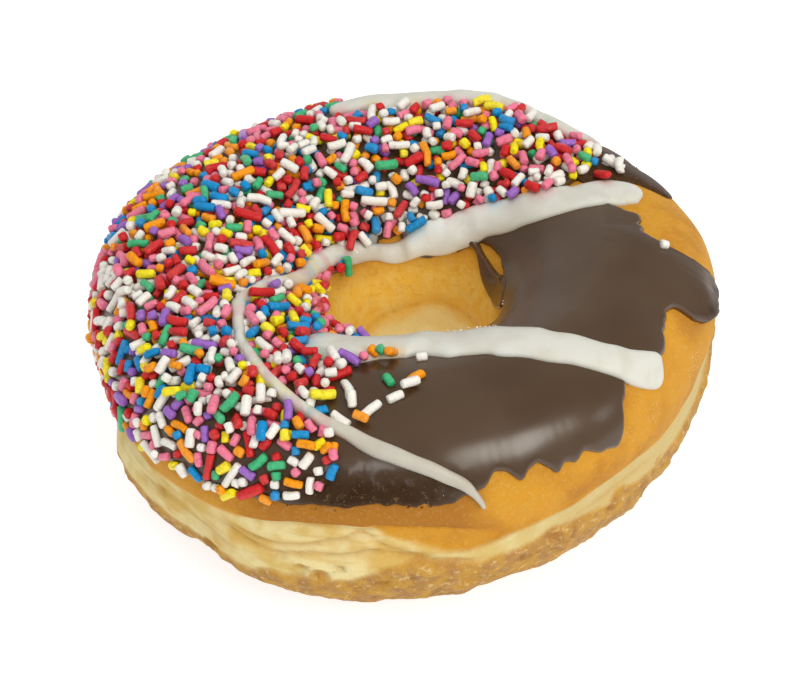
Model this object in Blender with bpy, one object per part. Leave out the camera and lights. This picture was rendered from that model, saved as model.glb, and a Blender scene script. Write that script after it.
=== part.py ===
"""A ring doughnut with chocolate icing, white icing drizzled over it and sugar sprinkles.

The dough is one ring. The chocolate icing is a thin shell over its top, with the drizzle and the
sprinkles fused to it. Lengths are in metres and angles in degrees, unless a name says otherwise.
Places on the ring are given by two angles: the direction round the ring, from +X towards +Y, and
the place on the section, which is 0 on the crest, 90 on the outer side and -90 on the hole's wall.
"""
import math
import random

import bmesh
import bpy
import numpy as np

MM = 0.001

# The dough: a ring that rose into a soft oval section, with a wider, softer wall to its hole.
RING_CENTRE = (0.8 * MM, -0.2 * MM)
RING_RADIUS = 48.0 * MM
HOLE_RADIUS = 11.4 * MM
HOLE_SHIFT = (1.3 * MM, -0.3 * MM)
CREST_HEIGHT = 33.0 * MM
PROOF_LINE_HEIGHT = 16.4 * MM
RISE_TOWARDS = (1.2 * MM, -1.8 * MM)
OUTER_SQUARENESS = 2.64
INNER_SQUARENESS = 2.1
HOLE_WALL_DROP = 3.0 * MM
BASE_FLATTENING = 0.8 * MM
OUTLINE_WAVES = {2: (-0.004, 0.015), 3: (0.007, 0.013), 4: (-0.004, -0.008), 5: (0.005, 0.010)}
PROOF_BAND_DEPTH = 0.8 * MM
PROOF_BAND_SPREAD = 11.0
DOUGH_STEPS = (72, 24)

# The chocolate icing: where its edge runs on the section, at directions round the ring.
OUTER_EDGE = (
    (0, 28), (3, 23), (9, 18), (15, 14), (20, 34), (26, 46), (40, 58), (60, 64), (90, 66), (120, 70),
    (150, 78), (180, 84), (202, 84), (215, 77), (228, 71), (250, 69), (263, 64), (274, 66), (284, 61),
    (288, 57), (291, 62), (294, 56), (298, 61), (307, 61), (311, 65), (315, 50), (322, 45), (334, 45),
    (340, 38), (343, 43), (347, 57), (352, 62), (355, 56), (357, 42),
)
INNER_EDGE = (
    (0, -55), (15, -54), (29, -46), (45, -52), (60, -59), (85, -63), (115, -58), (170, -58),
    (196, -53), (212, -48), (250, -46), (305, -50), (320, -46), (345, -55),
)
ICING_GAP = 0.45 * MM
ICING_THICKNESS = 1.3 * MM
ICING_TOP = ICING_GAP + ICING_THICKNESS
ICING_LIP_SHARE = 0.05
ICING_STEPS = (84, 18)

# White drizzle: the points of each line are x, y and width in millimetres, seen from above.
DRIZZLE_LINES = {
    "drizzle_turn": (
        (37.6, 10.8, 4.6), (30.0, 11.6, 5.8), (22.5, 11.3, 5.8), (15.9, 11.9, 5.6), (9.3, 12.6, 5.4),
        (2.6, 12.9, 4.4), (-4.3, 11.7, 2.4), (-9.7, 9.3, 2.2), (-13.9, 4.6, 2.1), (-17.5, -2.0, 2.1),
        (-22.7, -8.7, 2.0), (-24.8, -15.2, 1.8), (-23.9, -22.5, 1.8), (-20.4, -29.0, 2.1),
        (-14.6, -36.2, 2.3), (-8.9, -40.4, 2.3), (-1.5, -44.0, 2.5), (5.7, -46.0, 2.0),
        (9.9, -47.1, 1.4), (11.2, -48.3, 1.0),
    ),
    "drizzle_front": (
        (-15.9, -24.4, 4.8), (-10.7, -23.6, 5.6), (-4.0, -22.6, 5.8), (5.0, -22.2, 6.0),
        (12.0, -23.0, 6.0), (18.0, -24.7, 6.0), (24.4, -25.8, 5.9), (31.0, -26.4, 5.8),
        (36.0, -25.4, 5.6), (40.0, -23.9, 5.4),
    ),
    "drizzle_back": (
        (-10.4, 38.4, 2.6), (-1.7, 38.9, 4.0), (7.2, 39.6, 4.4), (15.7, 38.2, 4.2), (22.5, 32.9, 3.8),
        (29.0, 27.2, 3.6), (31.8, 22.6, 3.2),
    ),
}
DRIZZLE_HEIGHT = 1.2 * MM
DRIZZLE_HEIGHT_BY_WIDTH = 0.45
DRIZZLE_BED = 0.8 * MM
DRIZZLE_SIDES = 8
DRIZZLE_STEP = 3.8 * MM

# Sugar sprinkles: blunt rods on the left and the back of the icing, the largest laid first.
SPRINKLE_COUNT = 138
SPRINKLE_SEED = 5
SPRINKLE_RADIUS = (0.82 * MM, 0.72 * MM)
SPRINKLE_LENGTH = (5.0 * MM, 3.0 * MM)
SPRINKLE_SIDES = 6
SPRINKLE_SUNK = 0.42 * MM
SPRINKLE_SPACING = 4.7 * MM
SPRINKLE_TILT = 7.0
SPRINKLE_DIRECTIONS = (31, 254)
SPRINKLE_PLACES = (-60, 85)
SPRINKLE_INNER_LIMIT = ((31, -14), (35, -22), (42, -30), (52, -37), (65, -40), (80, -46), (254, -46))
SPRINKLE_EDGE_MARGIN = 4.0

DOUGH_COLOUR = (0.61, 0.31, 0.09, 1.0)
DOUGH_ROUGHNESS = 0.55
ICING_COLOUR = (0.098, 0.061, 0.038, 1.0)
ICING_ROUGHNESS = 0.4
SMOOTH_UP_TO = 35.0


def clear_scene():
    for item in list(bpy.data.objects):
        bpy.data.objects.remove(item, do_unlink=True)


def make_material(name, colour, roughness):
    material = bpy.data.materials.new(name)
    material.use_nodes = True
    shader = material.node_tree.nodes["Principled BSDF"]
    shader.inputs["Base Color"].default_value = colour
    shader.inputs["Roughness"].default_value = roughness
    shader.inputs["Metallic"].default_value = 0.0
    return material


def unit(vectors):
    return vectors / np.linalg.norm(vectors, axis=-1, keepdims=True)


def ring_rims(direction):
    """Outer radius, hole radius, proof line height and crest height at directions in radians."""
    outer = np.full_like(direction, RING_RADIUS)
    for waves, (cosine, sine) in OUTLINE_WAVES.items():
        outer += RING_RADIUS * (cosine * np.cos(waves * direction) + sine * np.sin(waves * direction))
    hole = HOLE_RADIUS + HOLE_SHIFT[0] * np.cos(direction) + HOLE_SHIFT[1] * np.sin(direction)
    rise = RISE_TOWARDS[0] * np.cos(direction) + RISE_TOWARDS[1] * np.sin(direction)
    return outer, hole, PROOF_LINE_HEIGHT + rise, CREST_HEIGHT + rise


def dough_surface(direction, place):
    """A superellipse section, squarer outside than towards the hole, flat where it rests.

    The hole's wall sinks a little towards the middle, and a shallow band runs round the outer side
    where the dough floated between its two turns in the oil.
    """
    outer, hole, proof_line, crest = ring_rims(direction)
    middle = (outer + hole) / 2
    half_width = (outer - hole) / 2
    across = np.sin(place)
    up = np.cos(place)
    half_height = np.where(up > 0, crest - proof_line, proof_line + BASE_FLATTENING)
    power = np.where(across > 0, OUTER_SQUARENESS, INNER_SQUARENESS)
    reach = (np.abs(across / half_width) ** power + np.abs(up / half_height) ** power) ** (-1 / power)
    band = np.exp(-(((place - math.pi / 2) / math.radians(PROOF_BAND_SPREAD)) ** 2))
    radius = middle + reach * across - PROOF_BAND_DEPTH * band
    height = np.maximum(proof_line + reach * up + HOLE_WALL_DROP * np.minimum(across, 0), 0)
    return np.stack([radius * np.cos(direction), radius * np.sin(direction), height], axis=-1)


def surface_slopes(direction, place):
    """How the dough's surface runs, in metres a radian, round the ring and over the section."""
    small = 1e-3
    round_ring = dough_surface(direction + small, place) - dough_surface(direction - small, place)
    over_section = dough_surface(direction, place + small) - dough_surface(direction, place - small)
    return round_ring / (2 * small), over_section / (2 * small)


def above_dough(direction, place, lift):
    """Points that stand off the dough's surface by lift, along its outward normal."""
    round_ring, over_section = surface_slopes(direction, place)
    normal = unit(np.cross(over_section, round_ring))
    return dough_surface(direction, place) + normal * np.asarray(lift)[..., None]


def edge_place(direction, knots):
    """The place on the section where an edge given by knots runs, in radians."""
    at, places = zip(*knots)
    return np.radians(np.interp(np.degrees(direction), at, places, period=360))


def place_seen_from_above(x, y, lift):
    """Direction and place on the section of the points, lift above the dough, that lie at x, y."""
    direction = np.arctan2(y, x)
    places = np.radians(np.linspace(-80, 80, 81))
    rows = above_dough(direction[:, None], np.broadcast_to(places, (len(x), 81)), lift)
    radii = np.hypot(rows[..., 0], rows[..., 1])
    place = np.array([np.interp(r, row, places) for r, row in zip(np.hypot(x, y), radii)])
    return direction, place


def vertex_array(mesh):
    points = np.empty(len(mesh.vertices) * 3)
    mesh.vertices.foreach_get("co", points)
    return points.reshape(-1, 3)


def set_vertices(mesh, points):
    mesh.vertices.foreach_set("co", np.ascontiguousarray(points).ravel())
    mesh.update()


def new_mesh(name, make_primitive, **sizes):
    """A mesh that holds one bmesh primitive, such as a ball or a rod."""
    work = bmesh.new()
    make_primitive(work, **sizes)
    mesh = bpy.data.meshes.new(name)
    work.to_mesh(mesh)
    work.free()
    return mesh


def triangulate(mesh):
    work = bmesh.new()
    work.from_mesh(mesh)
    bmesh.ops.triangulate(work, faces=work.faces[:])
    bmesh.ops.recalc_face_normals(work, faces=work.faces[:])
    work.to_mesh(mesh)
    work.free()


def add_torus(name, steps, collection):
    """A torus of one metre with a half-metre tube, whose vertices are then moved by a formula."""
    bpy.ops.mesh.primitive_torus_add(
        major_segments=steps[0], minor_segments=steps[1], major_radius=1.0, minor_radius=0.5
    )
    item = bpy.context.object
    item.name = name
    item.data.name = name
    for owner in list(item.users_collection):
        owner.objects.unlink(item)
    collection.objects.link(item)
    points = vertex_array(item.data)
    direction = np.arctan2(points[:, 1], points[:, 0])
    place = np.arctan2(np.hypot(points[:, 0], points[:, 1]) - 1.0, points[:, 2])
    return item, direction, place


def make_dough(collection):
    dough, direction, place = add_torus("dough", DOUGH_STEPS, collection)
    set_vertices(dough.data, dough_surface(direction, place))
    triangulate(dough.data)
    return dough


def make_icing_shell(collection):
    """The torus's tube is pressed flat: its upper half is the icing's face, its lower half the back."""
    icing, direction, place = add_torus("icing", ICING_STEPS, collection)
    turn = np.mod(math.pi / 2 - place, 2 * math.pi) / math.pi
    is_face = turn < 1.0
    across = np.where(is_face, turn, 2.0 - turn)
    rows = ICING_STEPS[1] / 2
    share = np.interp(
        across * rows, (0, 1, rows - 1, rows), (0, ICING_LIP_SHARE, 1 - ICING_LIP_SHARE, 1)
    )
    outer = edge_place(direction, OUTER_EDGE)
    inner = edge_place(direction, INNER_EDGE)
    is_lip = np.isclose(across, 0) | np.isclose(across, 1)
    lift = np.where(is_face, ICING_TOP, ICING_GAP)
    lift = np.where(is_lip, ICING_GAP + 0.3 * ICING_THICKNESS, lift)
    set_vertices(icing.data, above_dough(direction, outer + (inner - outer) * share, lift))
    triangulate(icing.data)
    return icing


def smooth_line(points, count):
    """A Catmull-Rom curve through the points, each of which keeps its width as a third value."""
    points = np.asarray(points)
    padded = np.vstack([2 * points[0] - points[1], points, 2 * points[-1] - points[-2]])
    at = np.linspace(0, len(points) - 1, count)
    piece = np.minimum(at.astype(int), len(points) - 2)
    t = (at - piece)[:, None]
    a, b, c, d = (padded[piece + k] for k in range(4))
    bend = (2 * a - 5 * b + 4 * c - d) * t ** 2 + (3 * b - a - 3 * c + d) * t ** 3
    return b + 0.5 * ((c - a) * t + bend)


def make_drizzle(name, line, collection):
    """A ball drawn out along the line: a low arch above the icing, with its bed sunk in it."""
    sweep = smooth_line(line, 20 * len(line)) * MM
    direction, place = place_seen_from_above(sweep[:, 0], sweep[:, 1], ICING_TOP)
    direction = np.unwrap(direction)
    middle = above_dough(direction, place, ICING_TOP)
    steps = np.linalg.norm(np.diff(middle, axis=0), axis=1)
    travelled = np.concatenate([[0], np.cumsum(steps)])
    length = travelled[-1]

    rings = max(8, round(length / DRIZZLE_STEP))
    mesh = new_mesh(
        name, bmesh.ops.create_uvsphere, u_segments=DRIZZLE_SIDES, v_segments=rings, radius=1.0
    )
    ball = vertex_array(mesh)
    even = np.arccos(np.clip(ball[:, 2], -1, 1)) / math.pi
    along = length * (0.75 * even + 0.25 * (1 - np.cos(math.pi * even)) / 2)
    around = np.arctan2(ball[:, 1], ball[:, 0])

    direction = np.interp(along, travelled, direction)
    place = np.interp(along, travelled, place)
    half_width = np.interp(along, travelled, sweep[:, 2]) / 2
    from_end = np.minimum(np.minimum(along, length - along) / half_width, 1)
    rounding = np.sqrt(1 - (1 - from_end) ** 2)

    slopes = np.gradient(middle, travelled, axis=0)
    tangent = np.stack([np.interp(along, travelled, slope) for slope in slopes.T], axis=-1)
    round_ring, over_section = surface_slopes(direction, place)
    sideways = unit(np.cross(unit(np.cross(over_section, round_ring)), tangent))
    offset = half_width * rounding * np.cos(around)
    turn_direction = np.sum(sideways * round_ring, -1) / np.sum(round_ring ** 2, -1)
    turn_place = np.sum(sideways * over_section, -1) / np.sum(over_section ** 2, -1)

    arch = np.minimum(DRIZZLE_HEIGHT, DRIZZLE_HEIGHT_BY_WIDTH * 2 * half_width)
    rise = rounding * np.sin(around)
    lift = ICING_TOP + rise * np.where(rise > 0, arch, ICING_TOP - DRIZZLE_BED)
    points = above_dough(direction + offset * turn_direction, place + offset * turn_place, lift)
    set_vertices(mesh, points)
    triangulate(mesh)
    collection.objects.link(bpy.data.objects.new(name, mesh))


def sprinkle_spots(rng):
    """Spots spread evenly over the sprinkled part of the icing, each clear of the ones before it."""
    first, last = (math.radians(limit) for limit in SPRINKLE_DIRECTIONS)
    lowest, highest = (math.radians(limit) for limit in SPRINKLE_PLACES)
    margin = math.radians(SPRINKLE_EDGE_MARGIN)
    spots = []
    while len(spots) < SPRINKLE_COUNT:
        direction = np.array(rng.uniform(first, last))
        place = np.array(rng.uniform(lowest, highest))
        outer = edge_place(direction, OUTER_EDGE) - margin
        inner = edge_place(direction, INNER_EDGE) + margin
        inner = max(inner, edge_place(direction, SPRINKLE_INNER_LIMIT))
        point = above_dough(direction, place, ICING_TOP)
        is_kept = rng.random() < math.hypot(point[0], point[1]) / RING_RADIUS
        is_clear = all(np.linalg.norm(point - spot[2]) > SPRINKLE_SPACING for spot in spots)
        if inner < place < outer and is_kept and is_clear:
            spots.append((direction, place, point))
    return spots


def make_sprinkles(collection):
    """Blunt six-sided rods that lie on the icing at any heading, the longest first."""
    rng = random.Random(SPRINKLE_SEED)
    for number, (direction, place, point) in enumerate(sprinkle_spots(rng)):
        share = number / (SPRINKLE_COUNT - 1)
        length = SPRINKLE_LENGTH[0] + (SPRINKLE_LENGTH[1] - SPRINKLE_LENGTH[0]) * share
        radius = SPRINKLE_RADIUS[0] + (SPRINKLE_RADIUS[1] - SPRINKLE_RADIUS[0]) * share
        round_ring, over_section = (unit(slope) for slope in surface_slopes(direction, place))
        normal = unit(np.cross(over_section, round_ring))
        heading = rng.uniform(0, math.pi)
        tilt = math.radians(rng.uniform(-SPRINKLE_TILT, SPRINKLE_TILT))
        axis = math.cos(heading) * round_ring + math.sin(heading) * over_section
        axis = unit(axis * math.cos(tilt) + normal * math.sin(tilt))
        side = unit(np.cross(axis, normal))
        top = np.cross(side, axis)

        mesh = new_mesh(
            "sprinkle", bmesh.ops.create_cone, cap_ends=True, segments=SPRINKLE_SIDES,
            radius1=radius, radius2=radius, depth=length,
        )
        centre = point + normal * (radius - SPRINKLE_SUNK)
        set_vertices(mesh, centre + vertex_array(mesh) @ np.stack([top, side, axis]))
        triangulate(mesh)
        collection.objects.link(bpy.data.objects.new("sprinkle", mesh))


def fuse(target, toppings):
    """Joins the toppings to the target with one union, then removes them."""
    union = target.modifiers.new("toppings", "BOOLEAN")
    union.operation = "UNION"
    union.operand_type = "COLLECTION"
    union.collection = toppings
    union.solver = "EXACT"
    bpy.context.view_layer.update()
    evaluated = target.evaluated_get(bpy.context.evaluated_depsgraph_get())
    fused = bpy.data.meshes.new_from_object(evaluated)
    target.modifiers.remove(union)
    bare = target.data
    target.data = fused
    bpy.data.meshes.remove(bare)
    fused.name = target.name
    for item in list(toppings.objects):
        bpy.data.objects.remove(item, do_unlink=True)
    bpy.data.collections.remove(toppings)


def linked_body(seed):
    """All the vertices that edges join to the seed vertex."""
    body = {seed}
    edge = [seed]
    while edge:
        vertex = edge.pop()
        for link in vertex.link_edges:
            other = link.other_vert(vertex)
            if other not in body:
                body.add(other)
                edge.append(other)
    return body


def keep_largest_body(mesh):
    """Fills the hollows that fusing sealed and drops loose scraps: both are smaller bodies."""
    work = bmesh.new()
    work.from_mesh(mesh)
    bodies = []
    unseen = set(work.verts)
    while unseen:
        body = linked_body(next(iter(unseen)))
        unseen -= body
        bodies.append(body)
    bodies.sort(key=len)
    for body in bodies[:-1]:
        bmesh.ops.delete(work, geom=list(body), context="VERTS")
    bmesh.ops.triangulate(work, faces=work.faces[:])
    work.to_mesh(mesh)
    work.free()


def finish(item, material):
    mesh = item.data
    set_vertices(mesh, vertex_array(mesh) + np.array([*RING_CENTRE, 0.0]))
    mesh.materials.clear()
    mesh.materials.append(material)
    mesh.shade_smooth()
    mesh.set_sharp_from_angle(angle=math.radians(SMOOTH_UP_TO))


def main():
    clear_scene()
    doughnut = bpy.data.collections.new("doughnut")
    toppings = bpy.data.collections.new("toppings")
    for collection in (doughnut, toppings):
        bpy.context.scene.collection.children.link(collection)

    dough = make_dough(doughnut)
    icing = make_icing_shell(doughnut)
    for name, line in DRIZZLE_LINES.items():
        make_drizzle(name, line, toppings)
    make_sprinkles(toppings)
    fuse(icing, toppings)
    keep_largest_body(icing.data)

    finish(dough, make_material("fried dough", DOUGH_COLOUR, DOUGH_ROUGHNESS))
    finish(icing, make_material("chocolate icing", ICING_COLOUR, ICING_ROUGHNESS))


main()
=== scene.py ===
import functools
import math

import bpy
import numpy as np
from mathutils import Matrix


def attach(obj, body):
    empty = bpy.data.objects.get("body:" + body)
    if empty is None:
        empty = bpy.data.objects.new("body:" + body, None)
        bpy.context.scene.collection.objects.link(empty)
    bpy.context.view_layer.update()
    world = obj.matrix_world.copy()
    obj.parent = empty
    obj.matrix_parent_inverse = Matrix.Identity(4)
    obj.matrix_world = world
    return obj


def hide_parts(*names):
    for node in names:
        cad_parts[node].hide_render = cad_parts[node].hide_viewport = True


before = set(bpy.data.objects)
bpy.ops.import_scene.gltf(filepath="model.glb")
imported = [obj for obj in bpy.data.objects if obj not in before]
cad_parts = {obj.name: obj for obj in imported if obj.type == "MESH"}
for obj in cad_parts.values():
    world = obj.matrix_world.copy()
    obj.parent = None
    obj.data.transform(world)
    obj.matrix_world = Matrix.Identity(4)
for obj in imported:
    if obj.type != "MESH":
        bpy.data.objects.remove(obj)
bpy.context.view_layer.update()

# The ring of dough
# One ring of raised yeast dough, fried on both sides: golden above and mottled below, with a pale
# band round its side where it floated in the oil. All that lies on it is laid out by its section.

MM = 0.001
RING_CENTRE = np.array([0.8, -0.2, 0.0]) * MM
RING_RADIUS = 48.0 * MM
HOLE_RADIUS = 11.4 * MM
HOLE_SHIFT = (1.3 * MM, -0.3 * MM)
CREST_HEIGHT = 33.0 * MM
PROOF_LINE_HEIGHT = 16.4 * MM
RISE_TOWARDS = (1.2 * MM, -1.8 * MM)
OUTER_SQUARENESS = 2.64
INNER_SQUARENESS = 2.1
HOLE_WALL_DROP = 3.0 * MM
BASE_FLATTENING = 0.8 * MM
OUTLINE_WAVES = {2: (-0.004, 0.015), 3: (0.007, 0.013), 4: (-0.004, -0.008), 5: (0.005, 0.010)}
PROOF_BAND_DEPTH = 0.8 * MM
PROOF_BAND_SPREAD = 11.0
SECTION_RADIUS = 18.3 * MM


def unit(vectors):
    return vectors / np.linalg.norm(vectors, axis=-1, keepdims=True)


def smooth_step(value):
    """0 below -0.5, 1 above 0.5, and an S curve 3t^2 - 2t^3 between them."""
    t = np.clip(value + 0.5, 0, 1)
    return t * t * (3 - 2 * t)


def within(value, low, high, low_fade, high_fade):
    """1 between low and high, 0 outside them, with an S curve of its own width at either end."""
    return smooth_step((value - low) / low_fade) * smooth_step((high - value) / high_fade)


@functools.cache
def random_corners(seed, side):
    return np.random.default_rng(seed).uniform(-1, 1, (side, side, side))


def soft_noise(points, cell, seed):
    """Random values from -1 to 1 at the corners of cubes of this size, blended smoothly between."""
    side = 24
    corners = random_corners(seed, side)
    at = points / cell + 1000
    first = np.floor(at).astype(int)
    blend = at - first
    blend = blend * blend * (3 - 2 * blend)
    total = np.zeros(points.shape[:-1])
    for step in np.ndindex(2, 2, 2):
        share = np.prod(np.where(step, blend, 1 - blend), axis=-1)
        total += share * corners[tuple(np.moveaxis((first + step) % side, -1, 0))]
    return total


def layered_noise(points, layers):
    """Soft noise at several scales, summed: how much of each, its size and its seed."""
    return sum(amount * soft_noise(points, cell, seed) for amount, cell, seed in layers)


def plain_dough(direction, place):
    """A ring of superellipse section, squarer outside than towards the hole, flat where it rests.

    The direction runs round the ring from +X towards +Y. The place runs over the section: 0 on the
    crest, 90 degrees on the outer side, -90 on the hole's wall. The hole's wall sinks a little
    towards the middle, and a shallow band runs round the outer side.
    """
    outer = np.full_like(direction, RING_RADIUS)
    for waves, (cosine, sine) in OUTLINE_WAVES.items():
        outer += RING_RADIUS * (cosine * np.cos(waves * direction) + sine * np.sin(waves * direction))
    hole = HOLE_RADIUS + HOLE_SHIFT[0] * np.cos(direction) + HOLE_SHIFT[1] * np.sin(direction)
    rise = RISE_TOWARDS[0] * np.cos(direction) + RISE_TOWARDS[1] * np.sin(direction)
    proof_line = PROOF_LINE_HEIGHT + rise
    crest = CREST_HEIGHT + rise

    across = np.sin(place)
    up = np.cos(place)
    half_height = np.where(up > 0, crest - proof_line, proof_line + BASE_FLATTENING)
    power = np.where(across > 0, OUTER_SQUARENESS, INNER_SQUARENESS)
    half_width = (outer - hole) / 2
    reach = (np.abs(across / half_width) ** power + np.abs(up / half_height) ** power) ** (-1 / power)
    band = np.exp(-(((place - math.pi / 2) / math.radians(PROOF_BAND_SPREAD)) ** 2))
    radius = (outer + hole) / 2 + reach * across - PROOF_BAND_DEPTH * band
    height = np.maximum(proof_line + reach * up + HOLE_WALL_DROP * np.minimum(across, 0), 0)
    flat = np.stack([radius * np.cos(direction), radius * np.sin(direction), height], axis=-1)
    return flat + RING_CENTRE


# How far the lower side and the shoulder stand out from the plain ring: direction, and millimetres.
SIDE_SWELL = (
    (196, 0), (204, 1.5), (211, 1.2), (219, 0), (227, -1.0), (233, -0.8), (239, 0.2), (245, 0.5),
    (258, 0.6), (270, 0.35), (280, 0.1), (287, -0.3), (291, -0.7), (302, -0.6), (308, -0.9), (313, -1.1),
    (319, -0.7), (327, -0.8), (334, -0.35), (343, -0.3), (352, -0.6), (5, 0),
)
SHOULDER_SWELL = ((14, 0), (22, -0.45), (44, -0.45), (54, 0))
# The places between which each swell lies, in degrees, and how far it fades at either end.
SIDE_SPAN = (92, 155, 30, 30)
SHOULDER_SPAN = (36, 82, 14, 14)
# The dough rose unevenly: how much, the size and the seed of each layer of noise.
RISE_NOISE = ((0.34 * MM, 15 * MM, 1), (0.12 * MM, 6 * MM, 2))


def round_table(direction, knots):
    """The value at each direction of a table of (degrees, value), straight between its entries."""
    at, values = zip(*knots)
    return np.interp(np.degrees(direction), at, values, period=360)


def surface_slopes(direction, place):
    """How the dough's surface runs, in metres a radian, round the ring and over the section."""
    small = 1e-3
    round_ring = plain_dough(direction + small, place) - plain_dough(direction - small, place)
    over_section = plain_dough(direction, place + small) - plain_dough(direction, place - small)
    return round_ring / (2 * small), over_section / (2 * small)


def above_dough(direction, place, lift):
    """Points that stand off the risen dough by lift: the plain ring swells a little, unevenly."""
    round_ring, over_section = surface_slopes(direction, place)
    normal = unit(np.cross(over_section, round_ring))
    points = plain_dough(direction, place)
    swell = layered_noise(points, RISE_NOISE) * smooth_step(points[..., 2] / (5 * MM) - 0.6)
    degrees = np.degrees(place)
    swell = swell + round_table(direction, SIDE_SWELL) * MM * within(degrees, *SIDE_SPAN)
    swell = swell + round_table(direction, SHOULDER_SWELL) * MM * within(degrees, *SHOULDER_SPAN)
    return points + normal * (swell + lift)[..., None]


def closed_faces(rows, columns):
    """The four corners of each face of a grid that closes on itself both ways."""
    row, column = np.meshgrid(np.arange(rows), np.arange(columns), indexing="ij")
    below = (row + 1) % rows
    beside = (column + 1) % columns
    corners = [row * columns + column, below * columns + column, below * columns + beside]
    return np.stack([*corners, row * columns + beside], axis=-1).reshape(-1, 4)


def make_piece(name, points, faces, material, attributes=()):
    """A smooth mesh in its place, which rides on the doughnut. Attributes hold a value or a colour."""
    mesh = bpy.data.meshes.new(name)
    mesh.from_pydata(points.reshape(-1, 3).tolist(), [], faces)
    mesh.shade_smooth()
    mesh.materials.append(material)
    for label, values in dict(attributes).items():
        kind, field = ("FLOAT_COLOR", "color") if values.shape[-1:] == (4,) else ("FLOAT", "value")
        layer = mesh.attributes.new(label, kind, "POINT")
        layer.data.foreach_set(field, np.ascontiguousarray(values, dtype=np.float32).ravel())
    piece = bpy.data.objects.new(name, mesh)
    bpy.context.scene.collection.objects.link(piece)
    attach(piece, "root")
    return piece


class Wire:
    """One output in a material's node graph. The usual signs add the Math nodes for their sum."""

    def __init__(self, tree, socket=None):
        self.tree = tree
        self.socket = socket

    def node(self, kind, settings=(), inputs=(), output=0):
        """A node of this kind: its settings first, then its sockets' values or wires."""
        made = self.tree.nodes.new("ShaderNode" + kind)
        for label, value in dict(settings).items():
            if label == "stops":
                while len(made.color_ramp.elements) < len(value):
                    made.color_ramp.elements.new(0.5)
                for stop, (position, colour) in zip(made.color_ramp.elements, value):
                    stop.position = position
                    stop.color = (*colour, 1)
            else:
                setattr(made, label, value)
        for label, value in dict(inputs).items():
            if isinstance(value, Wire):
                self.tree.links.new(value.socket, made.inputs[label])
            elif value is not None:
                made.inputs[label].default_value = value
        return Wire(self.tree, made.outputs[output])

    def maths(self, operation, first, second=None, clamp=False):
        settings = {"operation": operation, "use_clamp": clamp}
        return self.node("Math", settings, {0: first, 1: second})

    def __add__(self, other):
        return self.maths("ADD", self, other)

    def __mul__(self, other):
        return self.maths("MULTIPLY", self, other)

    def __rsub__(self, other):
        return self.maths("SUBTRACT", other, self)

    def __pow__(self, other):
        return self.maths("POWER", self, other)

    __radd__ = __add__
    __rmul__ = __mul__

    def clamped(self):
        return self.maths("ADD", self, 0.0, clamp=True)

    def rising(self, low, high):
        """0 where this is under low, 1 where it is over high, and an S curve between."""
        limits = {"Value": self, "From Min": low, "From Max": high}
        return self.node("MapRange", {"interpolation_type": "SMOOTHSTEP"}, limits)

    def blend(self, first, second):
        """A colour: the first where this is 0, the second where it is 1."""
        colours = [colour if isinstance(colour, Wire) else (*colour, 1) for colour in (first, second)]
        return self.node("Mix", {"data_type": "RGBA"}, {0: self, 6: colours[0], 7: colours[1]}, 2)

    def noise(self, size_mm, detail=2.0, roughness=0.5, offset=0.0):
        """Cloudy noise about 0.5, with blotches of this size in millimetres, in the object's frame."""
        place = self.node("TexCoord", output=3)
        place = self.node("VectorMath", {"operation": "ADD"}, {0: place, 1: (offset, offset, offset)})
        sizes = {"Vector": place, "Scale": 1 / (size_mm * MM), "Detail": detail, "Roughness": roughness}
        return self.node("TexNoise", inputs=sizes)

    def attribute(self, label, output=2):
        return self.node("Attribute", {"attribute_name": label}, output=output)

    def bump(self, height, distance_mm, strength=1.0):
        """The surface's slope for a height from 0 to 1 that stands for this many millimetres."""
        sizes = {"Height": height, "Distance": distance_mm * MM, "Strength": strength}
        return self.node("Bump", inputs=sizes)


def new_material(name):
    """A material, the wire that starts its graph, and its shader's sockets."""
    material = bpy.data.materials.new(name)
    material.use_nodes = True
    tree = material.node_tree
    return material, Wire(tree), tree.nodes["Principled BSDF"].inputs


def connect(wire, socket):
    wire.tree.links.new(wire.socket, socket)


# Where the pale band begins and ends, and the ledge of crust in front: direction, and place.
BAND_TOP = (
    (12, 86), (30, 85), (90, 84), (150, 86), (180, 89), (200, 96), (210, 90), (218, 91), (227.5, 86.5),
    (233.5, 85.5), (240, 83.5), (245, 82), (250.5, 78.5), (259, 77), (264.5, 79.5), (269.5, 87.5),
    (272.5, 91.5), (277, 96), (281.5, 97.5), (287, 95.5), (295, 92), (300, 91.5), (308.5, 88),
    (317, 88.5), (327, 92), (336.5, 91), (342, 92), (348, 86), (355, 83),
)
BAND_BOTTOM = (
    (0, 99), (30, 102), (90, 103), (150, 102), (190, 106), (210, 112), (222, 115), (237.5, 113),
    (242.5, 116), (246, 112), (251, 111), (255, 109.5), (260.5, 113), (266.5, 104.5), (272, 100.5),
    (278.5, 103), (285, 107), (291.5, 104.5), (298, 98.5), (303, 101), (311, 108), (314, 103),
    (319.5, 108.5), (326.5, 109), (333, 106), (344, 102),
)
BAND_SOFTNESS = (
    (200, 6), (225, 6), (242, 4), (250, 1.6), (262, 2), (272, 5), (288, 6), (300, 3), (320, 2), (345, 2.5),
    (90, 5),
)
LEDGE = ((236, 84), (245, 82), (250.5, 78.5), (259, 76.8), (265.5, 76.5), (272.5, 78), (278, 81), (288, 88))
LEDGE_SHARE = ((236, 0), (246, 1), (274, 1), (286, 0))
BAND_STEP = 0.5 * MM
# How creamy the pale band is, against yellow: direction, and share.
CREAM = ((200, 0.25), (245, 0.05), (278, 0.15), (298, 0.8), (325, 0.95), (350, 0.9), (20, 0.6), (90, 0.5))
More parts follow.
